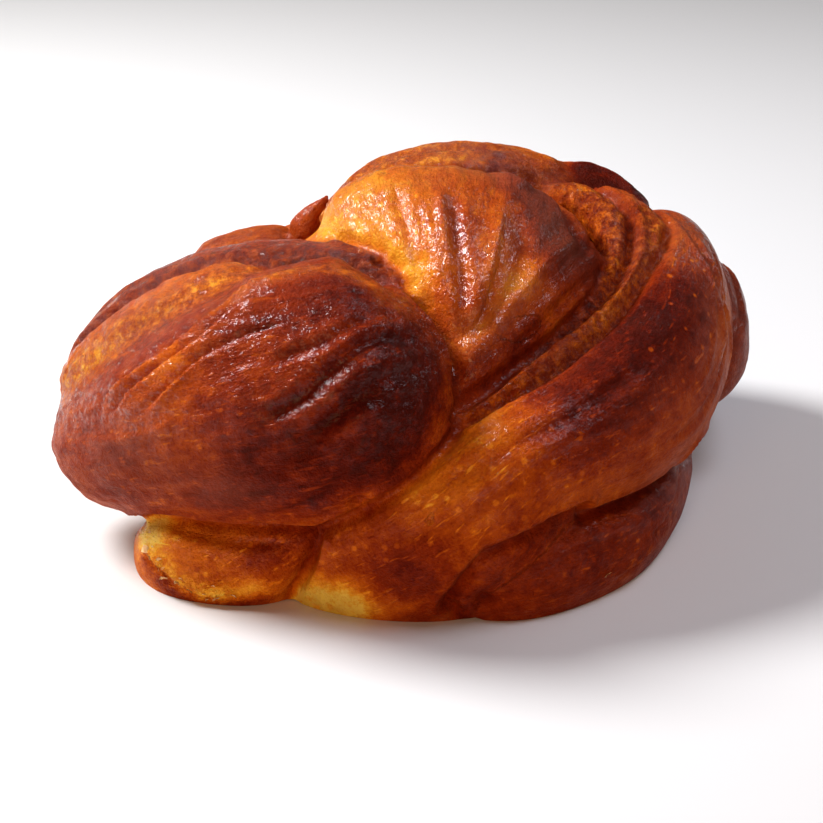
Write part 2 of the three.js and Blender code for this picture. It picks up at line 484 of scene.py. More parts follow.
# In mm: a soft seam is smoothed up to 6 away from it, and a crease's edges are rounded up to 2.5 away.
on_seam = (1 - ease(2.5, 6.0, seam_gap)) * ease(1.0, 3.0, gap)
even = np.maximum(on_seam, np.maximum(filled, retucked))
edge = EDGE_SHARE * (1 - ease(1.0, 2.5, gap))
for step in range(SEAM_PASSES):
    weight = np.maximum(even, edge) if step < EDGE_PASSES else even
    points = points + weight[:, None] * (spread(points, 1) - points)
place(skin, points)
skin.normal_update()
normals = np.array([v.normal for v in skin.verts])
broad = unit(spread(normals, FADE_PASSES))
print("creases of", int((border & ~sheet).sum()), "edges, soft seams of", int((border & sheet).sum()))

# %% [markdown]
# ## Folds, pleats and lifted edges
# Where dough is pulled in, it gathers into pleats. Where one layer ends on another, its edge lifts in the
# oven. Each fold below is drawn on its roll like a pencil line: a few places, given as the share of the way
# along the roll and the angle around it, 0 at its top. The line's own distance then raises or lowers the
# skin: a pleat is a rounded ridge, a furrow is a groove with swollen sides, a ledge is steep on one side
# only.

# %% Draw the folds
FOLDS = [
    # roll, kind, width and height in mm, places along the line
    ("crown", "pleat", 1.3, 1.0, [(0.66, -26), (0.52, -22), (0.4, -18), (0.3, -14), (0.22, -9)]),
    ("crown", "pleat", 1.7, 1.2, [(0.64, -16), (0.5, -15), (0.43, -13), (0.33, -9)]),
    ("crown", "furrow", 1.7, 1.5, [(0.64, -10), (0.5, -9), (0.39, -5), (0.29, 1), (0.2, 6)]),
    ("crown", "ledge", 3.2, 2.2, [(0.6, 13), (0.46, 15), (0.36, 17), (0.27, 18), (0.18, 16)]),
    ("crown", "furrow", 2.8, 1.2, [(0.64, 20), (0.48, 24), (0.35, 25), (0.24, 23), (0.12, 19)]),
    ("crown", "pleat", 3.8, 2.6, [(0.68, 52), (0.47, 45), (0.32, 38), (0.21, 34), (0.12, 27), (0.04, 20)]),
    ("crown", "furrow", 1.9, 0.8, [(0.66, -66), (0.47, -57), (0.34, -43), (0.22, -23)]),
    ("crown", "furrow", 1.6, 0.7, [(0.67, -36), (0.51, -34), (0.38, -30), (0.26, -20)]),
    ("crown", "furrow", 1.8, 0.6, [(0.58, -80), (0.48, -72), (0.38, -58), (0.28, -38)]),
    ("crown", "furrow", 2.2, 1.2, [(0.82, 30), (0.72, 42), (0.6, 56)]),
    ("crown", "pleat", 3.4, 1.8, [(0.84, 8), (0.77, 14), (0.71, 20)]),
    ("right_fold", "furrow", 1.8, 0.9, [(0.86, 8), (0.76, 2), (0.63, -6), (0.5, -14)]),
    ("right_fold", "furrow", 2.0, 0.9, [(0.82, 30), (0.7, 27), (0.56, 27), (0.42, 27), (0.3, 20)]),
    ("right_fold", "pleat", 1.8, 0.7, [(0.66, 14), (0.54, 12), (0.42, 8), (0.28, 2)]),
    ("lobe", "ledge", 2.2, 2.7, [(0.26, -8), (0.36, -22), (0.46, -31), (0.53, -41), (0.59, -50),
     (0.66, -55)]),
    ("lobe", "ledge", 1.7, 2.2, [(0.3, -2), (0.41, -18), (0.5, -25), (0.57, -36), (0.64, -40)]),
    ("lobe", "ledge", 1.6, 1.8, [(0.37, 2), (0.49, -14), (0.58, -20), (0.66, -22)]),
    ("lobe", "pleat", 1.0, 0.8, [(0.22, 4), (0.3, 8), (0.38, 10), (0.46, 6)]),
    ("lobe", "pleat", 0.9, 0.8, [(0.2, -14), (0.28, -14), (0.36, -20), (0.43, -27)]),
    ("lobe", "furrow", 2.0, 1.2, [(0.57, 20), (0.66, 9), (0.74, -1), (0.83, -8), (0.92, -6)]),
    ("lobe", "furrow", 2.2, 1.3, [(0.62, 28), (0.7, 19), (0.77, 13), (0.85, 12), (0.92, 16)]),
    ("lobe", "furrow", 2.0, 1.0, [(0.58, 42), (0.66, 29), (0.73, 19), (0.8, 19), (0.9, 30)]),
    ("lobe", "furrow", 1.7, 0.7, [(0.6, -4), (0.67, -9), (0.75, -13), (0.85, -20)]),
    ("lobe", "furrow", 2.2, 0.7, [(0.52, 70), (0.62, 58), (0.72, 46), (0.82, 40)]),
    ("lobe_lip", "furrow", 1.6, 0.7, [(0.14, 0), (0.3, -6), (0.45, 0), (0.6, -8), (0.74, -2)]),
    ("sweep", "pleat", 1.0, 0.8, [(0.83, -52), (0.79, -38), (0.755, -14), (0.73, 13), (0.7, 30)]),
    ("sweep", "pleat", 1.0, 0.7, [(0.84, -66), (0.8, -57), (0.75, -29), (0.705, -4), (0.66, 12)]),
    ("sweep", "furrow", 2.2, 0.6, [(0.28, -58), (0.32, -51), (0.36, -45), (0.42, -41), (0.52, -45),
     (0.63, -49)]),
    ("sweep", "furrow", 1.8, 0.5, [(0.2, -40), (0.28, -28), (0.38, -18), (0.48, -10), (0.58, -8)]),
    ("sweep", "ledge", 1.4, 0.8, [(0.88, -44), (0.81, -30), (0.74, -8), (0.66, 4), (0.58, 10)]),
    ("sweep", "furrow", 1.4, 0.7, [(0.84, -36), (0.78, -22), (0.7, 2), (0.62, 14), (0.52, 20)]),
    ("sweep", "pleat", 0.9, 0.5, [(0.8, -44), (0.74, -28), (0.66, -10), (0.6, -4)]),
    ("tier", "furrow", 2.2, 0.8, [(0.3, -50), (0.36, -40), (0.44, -30), (0.52, -10)]),
    ("tier", "ledge", 1.8, 1.0, [(0.62, -60), (0.55, -40), (0.47, -24), (0.42, -9), (0.34, -4)]),
    ("tail", "furrow", 1.8, 0.9, [(0.27, -60), (0.36, -54), (0.46, -48), (0.64, -24), (0.78, 4)]),
    ("tail", "ledge", 1.6, 1.0, [(0.54, 26), (0.46, 12), (0.37, -5), (0.28, -21), (0.23, -38)]),
    ("crest", "ledge", 2.4, 0.9, [(0.3, -50), (0.45, -42), (0.6, -40), (0.75, -30)]),
    ("crest", "furrow", 2.6, 0.9, [(0.2, 10), (0.36, 0), (0.54, 6), (0.7, 0), (0.86, 12)]),
    ("crest", "furrow", 1.8, 0.8, [(0.3, 52), (0.46, 44), (0.6, 50), (0.74, 42)]),
    ("knot", "furrow", 1.8, 1.2, [(0.15, 30), (0.4, 34), (0.7, 20)]),
    ("knot", "pleat", 1.8, 1.0, [(0.25, 60), (0.5, 52), (0.8, 44)]),
    ("upper_coil", "furrow", 2.6, 1.0, [(0.1, -10), (0.22, 6), (0.36, 0), (0.52, 8), (0.7, -4), (0.88, 4)]),
    ("upper_coil", "ledge", 2.6, 1.4, [(0.16, 34), (0.3, 30), (0.46, 36), (0.62, 30), (0.8, 38)]),
    ("upper_coil", "ledge", 2.2, 0.9, [(0.06, -36), (0.14, -30), (0.26, -34), (0.4, -40)]),
    ("lower_coil", "ledge", 2.8, 1.4, [(0.1, -22), (0.26, -10), (0.42, -16), (0.6, -6), (0.8, -14)]),
    ("lower_coil", "furrow", 2.6, 1.0, [(0.2, 22), (0.36, 28), (0.54, 20), (0.74, 28)]),
    ("lower_coil", "pleat", 2.2, 0.9, [(0.06, 8), (0.14, 14), (0.24, 6)]),
]
FOLD_POINTS = 90
FOLD_REACH = 9
# The share of its length over which a fold fades out at each end.
FOLD_FADE = 0.18


def on_skin(roll, places):
    """Points on a roll's skin at rows of (share, angle in degrees), in mm."""
    share, angle = np.asarray(places, float).T
    middle, _, up, side, half = rings(roll, share)
    turn = np.radians(angle)[:, None]
    return middle + up * half[:, :1] * np.cos(turn) + side * half[:, 1:] * np.sin(turn)


def near_line(name, line, reach):
    """Numbers of the vertices on a roll's sheet, inside the line's box grown by reach."""
    boxed = ((points > line.min(0) - reach) & (points < line.max(0) + reach)).all(1)
    return np.flatnonzero(boxed & np.isin(number, sheet_of(name)))


def bell(far):
    """1 where far is 0, and hardly anything beyond 2."""
    return np.exp(-(far ** 2))


def fold_height(kind, across, width):
    """Height, as a share of the fold's own, at a signed distance across it."""
    far = np.abs(across) / width
    if kind == "pleat":
        return bell(far)
    if kind == "furrow":
        swollen_sides = 0.45 * bell(far - 1.7)
        return swollen_sides - bell(far)
    rise = ease(-0.5, 0.7, across) * np.exp(-np.maximum(across, 0) / (2.5 * width))
    notch_below = 0.5 * bell((across + 1.1) / 0.9)
    return rise - notch_below


folded = np.zeros(len(points))
for name, kind, width, height, places in FOLDS:
    line = on_skin(ROLLS[name], smooth(places, np.linspace(0, 1, FOLD_POINTS)))
    near = near_line(name, line, FOLD_REACH)
    away = points[near][:, None] - line[None]
    spot = np.argmin((away ** 2).sum(-1), axis=1)
    away = away[np.arange(len(near)), spot]
    across_way = np.cross(unit(np.gradient(line, axis=0))[spot], normals[near])
    across = np.linalg.norm(away, axis=1) * np.where((away * across_way).sum(1) < 0, -1, 1)
    share = spot / (FOLD_POINTS - 1)
    ends = ease(0, FOLD_FADE, share) * ease(0, FOLD_FADE, 1 - share)
    folded[near] += height * ends * fold_height(kind, across, width)
print(len(FOLDS), "folds, from", round(folded.min(), 2), "to", round(folded.max(), 2), "mm")

# %% [markdown]
# ## Wrinkles, pits and the uneven hand of a baker
# Rolled dough shrinks back across its length, so its wrinkles are long and narrow and follow the roll.
# Noise on stretched coordinates makes them. Where cut layers show, the surface is bubbly as well. A slow
# unevenness over everything keeps the rolls from looking machine-made.

# %% Raise the relief
# Keeps two rolls that lie side by side from sharing one pattern.
ROLL_SHIFT = 7.3


def grain(rows, seed=0.0):
    """Smooth noise from -1 to 1 at each row, one bump or hollow to a unit: points / 17 has 17 mm bumps."""
    return np.array([noise.noise(row) for row in (rows + seed).tolist()])


def belongs(*names):
    """1 on these rolls and 0 elsewhere."""
    return np.isin(number, [NAMES.index(name) for name in names]).astype(float)


def lengthways(long, wide):
    """Coordinates on the rolls where one unit is long mm lengthways and wide mm across."""
    return offset / (long, wide, wide) + ROLL_SHIFT * number[:, None]


along = lengthways(20, 4.2)
open_skin = ease(0.4, 3.0, gap)
layered = belongs("lobe_layers", "inner_ridge", "outer_ridge", "knot", "crest")
crumpled = belongs("lobe", "lobe_lip", "crown", "right_fold", "crest", "bump")
bubbly = 0.8 * belongs("lobe_layers", "inner_ridge", "outer_ridge") + 0.4 * belongs("crest")
RELIEF = [
    # heights in mm on plain skin, and how much more on layered and on crumpled skin, of which noise
    (0.55, 0, 0, grain(points / 17)),
    (0.1, 0, 0.15, grain(points / 6.5, 3.0)),
    (0.1, 0.3, 0.35, grain(along) * open_skin),
    (0.08, 0.25, 0.18, grain(lengthways(7, 2.6)) * open_skin),
    (0, 0, 0.2, grain(points / 2.8, 6.0)),
]
relief = bubbly * np.minimum(grain(points / 2.9), 0.15)
for plain, on_layers, on_crumples, bumps in RELIEF:
    relief += (plain + on_layers * layered + on_crumples * crumpled) * bumps
# Near a soft seam the relief is averaged with its surroundings, so that no wrinkle ends there.
seam = (1 - ease(1.5, 4.0, seam_gap)) * ease(1.0, 3.0, gap)
relief += seam * (spread(relief[:, None], 10)[:, 0] - relief)
print("wrinkles from", round(relief.min(), 2), "to", round(relief.max(), 2), "mm")

# %% [markdown]
# ## Deep creases and overhanging edges
# Every crease is sunk along its whole length, and wrinkles flatten out in it. Where one roll hangs over
# another, its rim swells and the roll below stays tucked in. Near the board the relief fades, so the
# underside is flat.

# %% Sink the creases
OVERLAPS = [
    # the roll above, the roll that it hangs over
    ("sweep", "tier"), ("lobe", "tail"), ("lobe", "sweep"), ("sweep", "tail"), ("lobe", "crown"),
    ("lobe_lip", "crown"), ("lobe_lip", "lobe_layers"), ("lobe_lip", "lobe"), ("crown", "crest"),
    ("inner_ridge", "crown"), ("outer_ridge", "inner_ridge"), ("sweep", "outer_ridge"),
    ("sweep", "upper_coil"), ("upper_coil", "lower_coil"),
]
# Depths, heights and distances in mm.
CREASE_DEPTH, CREASE_WIDTH = 2.2, 1.4
RIM_HEIGHT, RIM_AT, RIM_WIDTH = 0.9, 2.4, 1.5
TUCK_DEPTH, TUCK_WIDTH = 1.2, 3.5
LEFT_IN_CREASES = 0.25
FLAT_BELOW, FREE_ABOVE = 0.3, 5
LAST_PASSES = 4

relief = (relief + folded) * (LEFT_IN_CREASES + (1 - LEFT_IN_CREASES) * open_skin)
groove = -CREASE_DEPTH * bell(gap / CREASE_WIDTH)
for upper, lower in OVERLAPS:
    upper, lower = NAMES.index(upper), NAMES.index(lower)
    relief += RIM_HEIGHT * bell((gap - RIM_AT) / RIM_WIDTH) * ((number == upper) & (runner_up == lower))
    groove -= TUCK_DEPTH * bell(gap / TUCK_WIDTH) * ((number == lower) & (runner_up == upper))
groove *= 1 - filled
standing = ease(FLAT_BELOW, FREE_ABOVE, points[:, 2])[:, None]
points = points + (normals * relief[:, None] + broad * groove[:, None]) * standing
for _ in range(LAST_PASSES):
    points = points + EDGE_SHARE * (1 - ease(1.5, 3.0, gap))[:, None] * (spread(points, 1) - points)
print("relief from", round(relief.min(), 2), "to", round(relief.max(), 2), "mm")

# %% [markdown]
# ## Into the frame
# The skin is set to the loaf's box in the frame, so that it stands where the CAD solid stands and is as
# big.

# %% Fit the skin to the frame
low, high = points.min(0), points.max(0)
frame_low, frame_high = (np.array(corner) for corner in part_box("loaf"))
to_frame = (frame_high - frame_low) / (high - low)


def framed(rows):
    """Rows of mm from the middle of the board, as metres in the frame."""
    return frame_low + (rows - low) * to_frame


place(skin, framed(points))
print("scale to metres:", [round(v, 6) for v in to_frame])

# %% [markdown]
# ## How dark each place is baked, with painted light and shade
# The oven's heat comes from above and egg wash runs off steep sides, so tops are darkest and sides that
# another roll shaded stay golden. One number from 0, pale, to 1, nearly burnt, says it all; it also carries
# painted shade, darker in creases, in furrows, under the tail's crust edge and across the lobe's right, and
# painted light, paler on the crown's lit facet, the lobe's lit ridges and the tail's torn end. The plum
# number is the cooler red-brown of crust that blistered in thin layers, and also painted sheen on the
# sweep's upper right, along the right side and on a few ridges. `shine` is how thick the egg wash dried,
# `layers` is where the torn layers show, and `freckles` where steam lifted the skin. Most come from strokes
# of a soft brush, each drawn on a roll, and a last blur hides where two rolls were painted apart.

# %% Bake it
MEDIUM_BAKE = 0.555
ROLL_BAKE = {
    # how much darker a roll is than the medium
    "crest": -0.13, "bump": -0.06, "lobe_lip": 0.1, "lobe_layers": -0.1, "tail": -0.08, "knot": 0.1,
    "inner_ridge": 0.02, "outer_ridge": 0.05, "tier": 0.18, "right_fold": 0.15, "flake": 0.04, "lobe": 0.11,
    "crown": -0.015, "sweep": 0.07, "upper_coil": 0.16, "lower_coil": 0.16, "hind_heart": 0.1,
}
PAINTS = {
    # what each paint changes, and which way
    "gold": ("bake_and_shading", -1), "dark": ("bake_and_shading", 1), "plum_and_sheen": ("plum_and_sheen", 1), "shine": ("shine", 1),
    "matt": ("shine", -1), "layers": ("layers", 1), "freckles": ("freckles", 1),
}
STROKES = {
    # roll: width in mm, places along the stroke, its paints and how strong each is
    "crown": [
        (7, [(0.72, -90), (0.6, -88), (0.5, -72), (0.4, -50), (0.33, -38), (0.27, -34)], dict(gold=0.36)),
        (9, [(0.66, -62), (0.58, -40), (0.5, -26), (0.42, -18)], dict(gold=0.16)),
        (4, [(0.28, -20), (0.2, -14)], dict(dark=0.1)),
        (9, [(0.68, -62), (0.64, -40), (0.66, -20)], dict(plum_and_sheen=0.5)),
        (10, [(0.66, -60), (0.62, -34), (0.5, -22)], dict(shine=0.7)),
        (4, [(0.52, -5), (0.4, 0), (0.28, 4)], dict(dark=0.12)),
        (9, [(0.76, 2), (0.74, 22), (0.64, 38), (0.56, 48)], dict(plum_and_sheen=0.8)),
        (9, [(0.74, 18), (0.7, 30), (0.6, 44), (0.62, 60)], dict(dark=0.16)),
        (12, [(0.7, 30), (0.6, 50)], dict(matt=0.3)),
        (9, [(0.62, 42), (0.52, 52)], dict(dark=0.15)),
        # painted sheen: plum tint and a paler bake along the crown's fold ridge
        (6, [(0.36, 36), (0.22, 32), (0.14, 24)], dict(plum_and_sheen=0.7)),
        (5, [(0.36, 36), (0.22, 32), (0.14, 24)], dict(gold=0.08)),
        (8, [(0.54, 26), (0.46, 20), (0.4, 28)], dict(gold=0.14)),
        # painted highlight: paler on the crown's lit facet
        (5, [(0.46, 4), (0.36, 6)], dict(gold=0.12)),
        (8, [(0.8, -30), (0.78, 0), (0.74, 24)], dict(plum_and_sheen=0.5)),
        (8, [(0.52, 6), (0.42, 8), (0.31, 8)], dict(shine=1.0)),
        (4, [(0.46, 9), (0.34, 8)], dict(plum_and_sheen=0.5)),
        (6, [(0.36, 34), (0.22, 30), (0.13, 22)], dict(shine=0.7)),
        (8, [(0.7, -54), (0.63, -36)], dict(gold=0.16)),
        # painted sheen: paler along the crown's fold ridge
        (4, [(0.34, 34), (0.22, 32), (0.13, 24)], dict(gold=0.14)),
        (12, [(0.6, -60), (0.5, -20), (0.5, 20)], dict(freckles=0.3)),
        (7, [(0.7, 22), (0.63, 32), (0.53, 32)], dict(dark=0.2, plum_and_sheen=0.5)),
        (7, [(0.74, -40), (0.74, -11), (0.75, 0)], dict(gold=0.14)),
        # painted highlight: paler on the crown's lit facet
        (5, [(0.42, -5), (0.34, 3), (0.26, 0), (0.18, -5)], dict(gold=0.06)),
        (5, [(0.5, 2), (0.42, 3)], dict(dark=0.1)),
    ],
    "right_fold": [
        (10, [(0.5, 20), (0.62, 10)], dict(gold=0.12)),
        (5, [(0.3, 34), (0.4, 32)], dict(dark=0.12)),
    ],
    "lobe": [
        (12, [(0.28, 24), (0.38, 32), (0.47, 42)], dict(plum_and_sheen=0.65)),
        (13, [(0.86, 24), (0.84, 44), (0.8, 60)], dict(dark=0.26)),
        (12, [(0.6, 46), (0.7, 30), (0.8, 14)], dict(dark=0.08)),
        (11, [(0.56, -28), (0.68, -30), (0.76, -32)], dict(dark=0.2)),
        (11, [(0.52, 54), (0.62, 46), (0.74, 44)], dict(dark=0.14)),
        (12, [(0.3, 50), (0.45, 62), (0.6, 66)], dict(dark=0.12)),
        # painted sheen: plum tint along the ridges at the lobe's left end
        (10, [(0.16, -24), (0.24, -2), (0.36, 4)], dict(plum_and_sheen=0.3)),
        (9, [(0.52, 80), (0.66, 86), (0.8, 88)], dict(gold=0.06)),
        (3, [(0.56, -46), (0.65, -57), (0.73, -53), (0.8, -50), (0.86, -46)], dict(gold=0.22)),
        (4, [(0.5, -40), (0.56, -48), (0.65, -58), (0.73, -54), (0.8, -51)], dict(layers=0.8)),
        (5, [(0.2, -22), (0.3, -16), (0.4, -22)], dict(shine=0.5)),
        (8, [(0.5, -34), (0.58, -38), (0.66, -40)], dict(matt=0.35)),
        (14, [(0.58, -20), (0.72, -26), (0.86, -30)], dict(matt=0.2)),
        (16, [(0.2, 0), (0.4, 10), (0.6, 0), (0.8, 0)], dict(freckles=0.22)),
        (14, [(0.3, 50), (0.5, 60), (0.7, 50)], dict(freckles=0.22)),
        # painted light: paler along the lit ridges of the lobe's upper left
        (7, [(0.44, -18), (0.5, -28), (0.55, -36), (0.61, -43)], dict(gold=0.13)),
        (8, [(0.38, 0), (0.46, -20), (0.53, -31), (0.61, -42)], dict(shine=0.4)),
        # painted shade: darker across the lobe's right, away from the main light
        (9, [(0.56, 24), (0.62, 20), (0.7, 13), (0.82, 8), (0.93, -2)], dict(dark=0.14)),
        (7, [(0.33, 58), (0.45, 66), (0.6, 72), (0.7, 68)], dict(gold=0.1)),
        (6, [(0.72, 66), (0.8, 62), (0.87, 54)], dict(gold=0.2)),
    ],
    "lobe_layers": [
        (6, [(0.3, 30), (0.5, 26), (0.7, 24), (0.86, 10)], dict(gold=0.08)),
        (8, [(0.1, 10), (0.35, 10)], dict(plum_and_sheen=0.3)),
        (9, [(0.15, 20), (0.35, 20), (0.6, 20), (0.9, 0)], dict(layers=0.9)),
        (10, [(0.15, 20), (0.35, 20), (0.6, 20)], dict(shine=0.5)),
        (5, [(0.5, 14), (0.62, 18)], dict(plum_and_sheen=0.4)),
        (6, [(0.2, 24), (0.4, 24)], dict(gold=0.1)),
    ],
    "lobe_lip": [
        (10, [(0.1, 0), (0.4, 0), (0.62, 0), (0.74, 0)], dict(layers=0.8)),
        (10, [(0.3, 0), (0.5, -5), (0.66, -8)], dict(shine=0.5)),
        (12, [(0.1, 0), (0.4, 0), (0.7, 0)], dict(plum_and_sheen=0.3)),
    ],
    "bump": [
        (12, [(0.2, 40), (0.5, 60), (0.8, 70)], dict(layers=0.4, dark=0.06, plum_and_sheen=0.3)),
    ],
    "crest": [
        (14, [(0.3, 30), (0.5, 46), (0.66, 56)], dict(layers=0.8)),
        (10, [(0.3, 30), (0.5, 30), (0.66, 30)], dict(plum_and_sheen=0.2)),
        (9, [(0.3, 40), (0.5, 56), (0.66, 66)], dict(shine=0.5)),
        (6, [(0.68, 76), (0.74, 78), (0.8, 78)], dict(dark=0.24, plum_and_sheen=0.7)),
    ],
    "tail": [
        # paler at the tail's torn end: partly its pale cut face, partly painted warm reflected light
        (6, [(0.26, -64), (0.25, -50)], dict(gold=0.8)),
        # painted shadow: darker along the underside below the tail's crust edge
        (3, [(0.24, -24), (0.29, -4), (0.36, 8), (0.46, 20), (0.56, 30)], dict(dark=0.35)),
        (8, [(0.68, 0), (0.82, 0)], dict(dark=0.26)),
        (10, [(0.26, -64), (0.25, -50)], dict(plum_and_sheen=-0.8)),
        (4, [(0.27, -24), (0.34, -12), (0.45, 4), (0.58, 18)], dict(gold=0.3)),
        (6, [(0.25, -60), (0.27, -26), (0.34, -12), (0.46, 4)], dict(layers=0.6)),
        (12, [(0.3, -30), (0.5, -20), (0.7, -10)], dict(freckles=0.3)),
        (6, [(0.32, -54), (0.62, -40)], dict(gold=0.12)),
    ],
    "sweep": [
        (7, [(0.1, -30), (0.12, -18), (0.15, -8)], dict(gold=0.66)),
        (7, [(0.1, -30), (0.12, -18), (0.15, -6)], dict(layers=0.7)),
        (11, [(0.2, -60), (0.28, -50), (0.36, -44)], dict(gold=0.2)),
        (12, [(0.45, -50), (0.55, -55), (0.68, -50)], dict(dark=0.12)),
        # painted sheen: plum tint along the sweep's right side
        (8, [(0.66, 4), (0.74, -10), (0.82, -30)], dict(plum_and_sheen=0.4)),
        (12, [(0.5, -60), (0.62, -54), (0.7, -50)], dict(matt=0.5)),
        (12, [(0.62, -60), (0.68, -54), (0.74, -50)], dict(dark=0.08)),
        (6, [(0.46, -88), (0.56, -84), (0.66, -80)], dict(dark=0.14)),
        (11, [(0.21, -8), (0.23, -24), (0.21, -44)], dict(dark=0.2)),
        (8, [(0.76, -50), (0.7, -50), (0.62, -40)], dict(freckles=1.0)),
        (14, [(0.6, -40), (0.45, -30), (0.3, -30), (0.2, -30)], dict(freckles=0.4)),
        (2.5, [(0.74, -92), (0.66, -94), (0.56, -92), (0.44, -88)], dict(gold=0.1)),
        (11, [(0.78, -66), (0.82, -60), (0.88, -60)], dict(gold=0.05)),
        # painted sheen: plum tint on the sweep's top right
        (7, [(0.85, -44), (0.82, -60), (0.77, -74)], dict(plum_and_sheen=0.5, shine=0.4)),
        (8, [(0.7, 0), (0.77, -8)], dict(gold=0.12)),
        (13, [(0.52, -30), (0.6, -40)], dict(dark=0.06)),
        (12, [(0.36, -16), (0.46, -18)], dict(dark=0.07)),
        (6, [(0.76, -74), (0.82, -70)], dict(gold=0.1)),
        # painted sheen: plum tint along the sweep's upper edge
        (9, [(0.9, -60), (0.82, -50), (0.76, -30), (0.68, -10), (0.6, 0), (0.5, 6)], dict(plum_and_sheen=0.3)),
        (6, [(0.11, -20), (0.15, -6), (0.19, 6)], dict(gold=0.14)),
        (6, [(0.26, -80), (0.32, -86), (0.37, -87)], dict(gold=0.2)),
        (12, [(0.42, -54), (0.52, -62), (0.6, -68)], dict(dark=0.08)),
        (8, [(0.66, -62), (0.73, -52), (0.76, -46)], dict(dark=0.12)),
    ],
    "tier": [
        (12, [(0.25, -30), (0.4, -30), (0.55, -20)], dict(freckles=0.3)),
    ],
    "outer_ridge": [
        (5, [(0.2, 20), (0.28, -7), (0.36, -7)], dict(gold=0.14)),
        (6, [(0.2, 40), (0.4, 40), (0.7, 0), (0.9, 0)], dict(layers=0.9)),
        (3, [(0.5, 20), (0.7, 0), (0.9, 0)], dict(shine=0.2)),
        (8, [(0.06, 40), (0.14, 50), (0.24, 60)], dict(matt=0.5)),
        (3, [(0.4, -10), (0.6, -20), (0.9, -20)], dict(gold=0.08)),
        (6, [(0.1, 40), (0.25, 50), (0.4, 40)], dict(plum_and_sheen=0.5)),
        (4, [(0.8, -14), (0.95, -14)], dict(gold=0.12)),
        (5, [(0.52, 56), (0.62, 28)], dict(gold=0.14)),
        (4, [(0.62, 66), (0.7, 62)], dict(dark=0.1)),
    ],
    "inner_ridge": [
        (8, [(0.08, 40), (0.26, 70), (0.45, 45), (0.7, 20)], dict(layers=1.0)),
        (7, [(0.3, 50), (0.5, 50), (0.8, 40)], dict(dark=0.05)),
        (5, [(0.4, 72), (0.5, 45)], dict(gold=0.12)),
        (5, [(0.7, 36), (0.8, 34)], dict(dark=0.15)),
    ],
    "knot": [
        (3, [(0.15, 30), (0.45, 40), (0.7, 60)], dict(gold=0.3)),
        (7, [(0.42, 80), (0.56, 74), (0.7, 58)], dict(dark=0.5)),
        (5, [(0.78, 92), (0.92, 84)], dict(gold=0.12)),
        (12, [(0.4, 80), (0.6, 60)], dict(matt=0.5)),
    ],
    "upper_coil": [
        # painted sheen: plum tint along the coil at the loaf's right side
        (12, [(0.04, -30), (0.1, -20), (0.16, -30), (0.24, -30)], dict(plum_and_sheen=0.4)),
    ],
}
STROKE_POINTS = 40
ROLL_FADE_PASSES = 12
BLUR_PASSES = 3
DEEPEST_FOLD = 2

look = {name: np.zeros(len(points)) for name in ("bake_and_shading", "plum_and_sheen", "shine", "layers", "freckles")}
roll_bake = np.array([[ROLL_BAKE.get(name, 0.0)] for name in NAMES])[number]
look["bake_and_shading"] += MEDIUM_BAKE + spread(roll_bake, ROLL_FADE_PASSES)[:, 0]
for name, strokes in STROKES.items():
    for width, places, paints in strokes:
        line = on_skin(ROLLS[name], smooth(places, np.linspace(0, 1, STROKE_POINTS)))
        near = near_line(name, line, 2 * width)
        away = np.linalg.norm(points[near][:, None] - line[None], axis=-1).min(1)
        for paint, strength in paints.items():
            changed, way = PAINTS[paint]
            look[changed][near] += way * strength * bell(away / width)
facing_up = normals[:, 2]
raised = np.clip(folded, 0, DEEPEST_FOLD)
sunk = np.clip(-folded, 0, DEEPEST_FOLD)
behind = fade(belongs("upper_coil", "lower_coil", "hind_heart"), ROLL_FADE_PASSES)
for changed, amount, where in (
    ("bake_and_shading", 0.03, facing_up),
    ("bake_and_shading", 0.03, raised),
    # painted light: the lobe's raised folds are paler where their edges catch the light
    ("bake_and_shading", -0.09, raised * belongs("lobe")),
    # furrows are darker: partly painted shade, partly syrup that pooled in them
    ("bake_and_shading", 0.08, sunk),
    # painted shade: darker near every crease
    ("bake_and_shading", 0.12, 1 - ease(0.2, 2.5, gap)),
    ("bake_and_shading", 0.06, grain(points / 22, 5.0)),
    ("bake_and_shading", 0.05, grain(points / 7, 9.0)),
    ("bake_and_shading", 0.05, grain(along, 2.0) * open_skin),
    ("plum_and_sheen", 0.15, grain(points / 12, 4.0)),
    ("plum_and_sheen", 0.25, behind),
    ("shine", 0.02, 1),
    ("shine", 0.5, ease(-0.1, 0.9, facing_up)),
    ("shine", 0.1, ease(-0.3, 0.5, facing_up) * belongs("lobe", "lobe_lip", "lobe_layers")),
    ("shine", 0.15, grain(points / 10, 8.0)),
):
    look[changed] += amount * where
blurred = spread(np.clip(np.column_stack(list(look.values())), 0, 1), BLUR_PASSES)
look = dict(zip(look, blurred.T))
print("mean of each:", {name: round(values.mean(), 2) for name, values in look.items()})

# %% [markdown]
# ## Four pieces of crust
# The skin is cut along its creases into four pieces. Each keeps the normals of the whole skin, so no join
# shows, and carries what the material reads: the numbers above, the place along its roll, and `calm`, which
# is 0 deep in a crease or on a seam, where patterns fade.

# %% Cut the skin
PIECES = {
    "crust_of_lobe": ("lobe", "lobe_layers", "lobe_lip", "bump", "flake", "tail"),
    "crust_of_crown": ("crown", "right_fold", "heart", "crest", "knot", "inner_ridge", "outer_ridge"),
    "crust_of_sweep": ("sweep", "tier", "sole"),
    "crust_of_back": ("upper_coil", "lower_coil", "hind_heart"),
}
look["calm"] = open_skin * ease(0.3, 2.2, seam_gap)


def keep(mesh, name, kind, field, values):
    """Stores one value for each vertex as an attribute of the mesh."""
    stored = mesh.attributes.new(name, kind, "POINT")
    stored.data.foreach_set(field, values.astype(np.float32).ravel())


